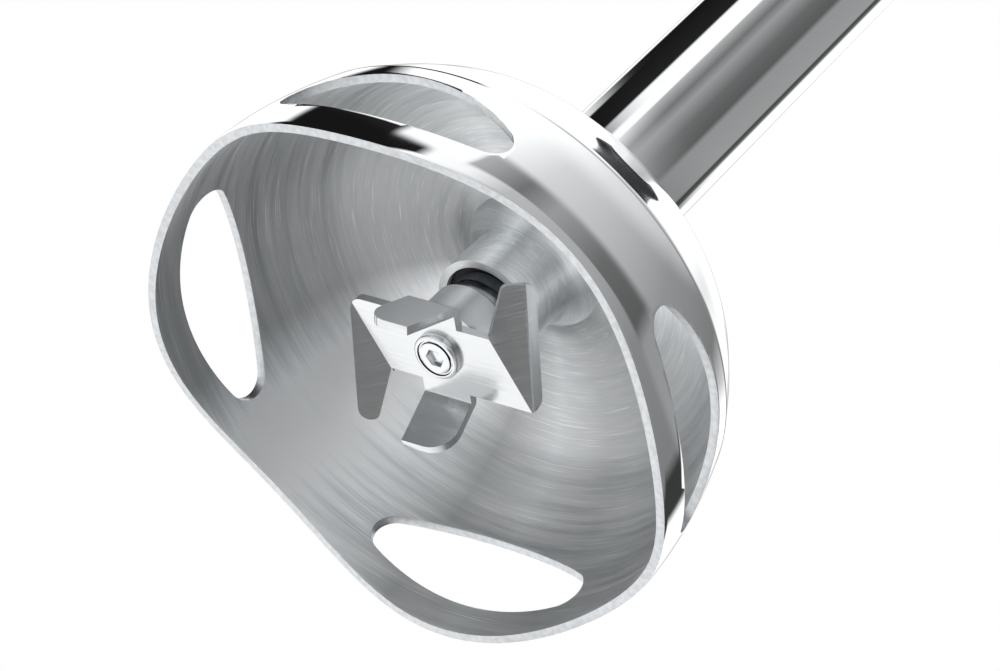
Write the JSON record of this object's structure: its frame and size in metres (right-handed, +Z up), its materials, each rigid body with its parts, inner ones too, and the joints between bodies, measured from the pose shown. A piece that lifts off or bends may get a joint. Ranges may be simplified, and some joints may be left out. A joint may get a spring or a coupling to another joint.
{
  "type": "immersion blender",
  "caption": "Stick blender: stainless foot with a windowed bell guard round a bent-wing blade, and a motor handle that lifts off it.",
  "frame": {"origin": "centre of the bell's mouth, in the plane of the four rim lands that the blender stands on", "axes": "+Z up the drive axis towards the handle, -Y towards the buttons"},
  "size_m": [0.066, 0.066, 0.3943],
  "materials": {
    "polished_stainless": "mirror polished pressed stainless steel, brushed inside the bell",
    "satin_stainless": "satin polished stainless sheet",
    "ground_steel": "ground",
    "spring_steel": "drawn wire and strip",
    "zinc_steel": "zinc plated",
    "sintered_bronze": "sintered, oil filled",
    "black_rubber": "moulded",
    "soft_grip_rubber": "matt moulded",
    "nylon": "moulded",
    "moulded_housing": "moulded, fine satin",
    "moulded_inner": "moulded",
    "button_plastic": "moulded",
    "dial_plastic": "moulded",
    "switch_plastic": "moulded",
    "circuit_board": "solder masked laminate",
    "laminated_steel": "stacked laminations",
    "copper_wire": "enamelled winding",
    "copper_bar": "turned",
    "brass": "pressed",
    "carbon": "pressed graphite"
  },
  "bodies": {
    "foot": {"bell_guard": "polished_stainless", "foot_tube": "polished_stainless", "lower_bush": "sintered_bronze", "shaft_seal": "black_rubber", "upper_bush": "sintered_bronze", "foot_collar": "moulded_housing", "latch_ring": "spring_steel", "tube_oring": "black_rubber"},
    "drive": {"blade": "satin_stainless", "blade_hub": "satin_stainless", "blade_screw": "polished_stainless", "drive_shaft": "ground_steel", "drive_socket": "nylon", "shaft_clip": "spring_steel", "thrust_washer": "moulded_inner"},
    "rotor": {"motor_shaft": "ground_steel", "armature_core": "laminated_steel", "armature_windings": "copper_wire", "commutator": "copper_bar", "cooling_fan": "moulded_inner", "drive_dog": "nylon"},
    "on_button": {"on_button": "button_plastic"},
    "turbo_button": {"turbo_button": "button_plastic"},
    "speed_dial": {"speed_dial": "dial_plastic"},
    "release_right": {"release_button_right": "button_plastic"},
    "release_left": {"release_button_left": "button_plastic"},
    "handle": {"coupling_sleeve": "moulded_housing", "trim_ring": "polished_stainless", "housing_front": "moulded_housing", "housing_back": "moulded_housing", "housing_screws": "zinc_steel", "soft_grip": "soft_grip_rubber", "top_cap": "moulded_housing", "cord_gland": "black_rubber", "cord_clamp": "moulded_inner", "motor_base": "moulded_inner", "lower_bearing": "ground_steel", "upper_bearing": "ground_steel", "upper_bracket": "moulded_inner", "stator_core": "laminated_steel", "field_coils": "copper_wire", "brush_holders": "brass", "carbon_brushes": "carbon", "on_spring": "spring_steel", "on_switch": "switch_plastic", "turbo_spring": "spring_steel", "turbo_switch": "switch_plastic", "control_board": "circuit_board", "suppressor": "switch_plastic", "speed_pot": "zinc_steel", "release_spring_right": "spring_steel", "release_spring_left": "spring_steel"}
  },
  "joints": [
    {"name": "handle_lift", "type": "slide", "parent": "foot", "child": "handle", "axis": [0, 0, 1], "range_m": [0, 0.03]},
    {"name": "motor_spin", "type": "hinge", "parent": "handle", "child": "rotor", "pos_m": [0, 0, 0.26], "axis": [0, 0, 1], "continuous": true},
    {"name": "blade_spin", "type": "hinge", "parent": "foot", "child": "drive", "pos_m": [0, 0, 0.0087], "axis": [0, 0, 1], "continuous": true},
    {"name": "on_press", "type": "slide", "parent": "handle", "child": "on_button", "axis": [0, 1, 0], "range_m": [0, 0.002], "stiffness_N_per_m": 600, "springref_m": -0.002, "deforming": ["on_spring"]},
    {"name": "turbo_press", "type": "slide", "parent": "handle", "child": "turbo_button", "axis": [0, 1, 0], "range_m": [0, 0.002], "stiffness_N_per_m": 600, "springref_m": -0.002, "deforming": ["turbo_spring"]},
    {"name": "release_press_right", "type": "slide", "parent": "handle", "child": "release_right", "axis": [-1, 0, 0], "range_m": [0, 0.002], "stiffness_N_per_m": 600, "springref_m": -0.002, "deforming": ["release_spring_right"]},
    {"name": "release_press_left", "type": "slide", "parent": "handle", "child": "release_left", "axis": [1, 0, 0], "range_m": [0, 0.002], "stiffness_N_per_m": 600, "springref_m": -0.002, "deforming": ["release_spring_left"]},
    {"name": "dial_turn", "type": "hinge", "parent": "handle", "child": "speed_dial", "pos_m": [0, 0, 0.385], "axis": [0, 0, 1], "range_deg": [0, 270]}
  ],
  "couplings": [
    {"joint": "blade_spin", "follows": "motor_spin", "ratio": 1}
  ]
}
